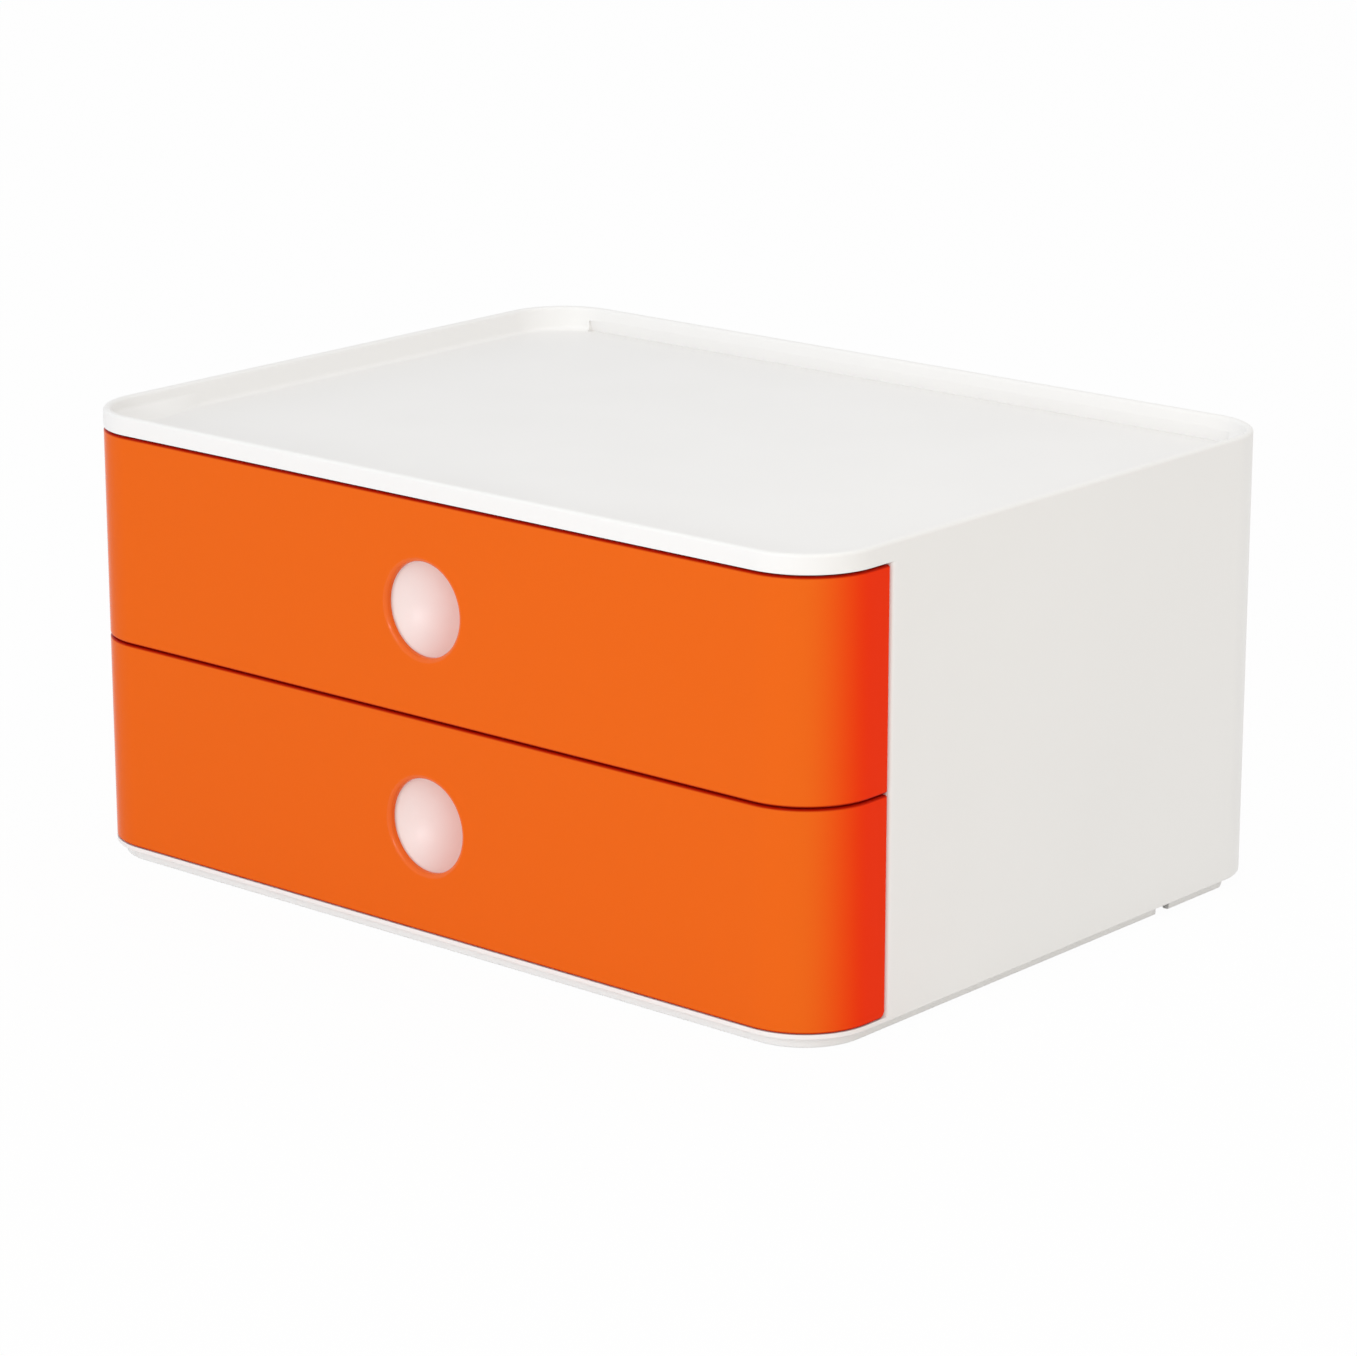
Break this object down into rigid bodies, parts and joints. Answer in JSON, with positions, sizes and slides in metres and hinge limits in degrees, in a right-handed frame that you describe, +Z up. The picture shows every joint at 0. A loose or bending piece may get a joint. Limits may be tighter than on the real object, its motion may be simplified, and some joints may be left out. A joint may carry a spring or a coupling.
{
  "type": "desk drawer box",
  "caption": "Low desk box with glossy drawer fronts that wrap its corners, round finger holes, and a rimmed tray on top.",
  "frame": {"origin": "under the middle of the box, on the surface that its feet stand on", "axes": "+Z up, +X to the right of someone who faces the drawers, -Y towards that person: the drawers open along -Y"},
  "size_m": [0.26, 0.195, 0.1254],
  "materials": {
    "housing_white": "satin moulded, warm white",
    "front_orange": "high-gloss moulded, orange",
    "drawer_white": "satin moulded, warm white",
    "foot_rubber": "matt moulded, grey"
  },
  "bodies": {
    "housing": {"housing_shell": "housing_white", "base_plate": "housing_white", "middle_shelf": "housing_white", "foot_front_left": "foot_rubber", "foot_front_right": "foot_rubber", "foot_rear_left": "foot_rubber", "foot_rear_right": "foot_rubber"},
    "lower_drawer": {"lower_drawer_front": "front_orange", "lower_drawer_tray": "drawer_white"},
    "upper_drawer": {"upper_drawer_front": "front_orange", "upper_drawer_tray": "drawer_white"}
  },
  "joints": [
    {"name": "lower_drawer_slide", "type": "slide", "parent": "housing", "child": "lower_drawer", "axis": [0, -1, 0], "range_m": [0, 0.128]},
    {"name": "upper_drawer_slide", "type": "slide", "parent": "housing", "child": "upper_drawer", "axis": [0, -1, 0], "range_m": [0, 0.128]}
  ]
}
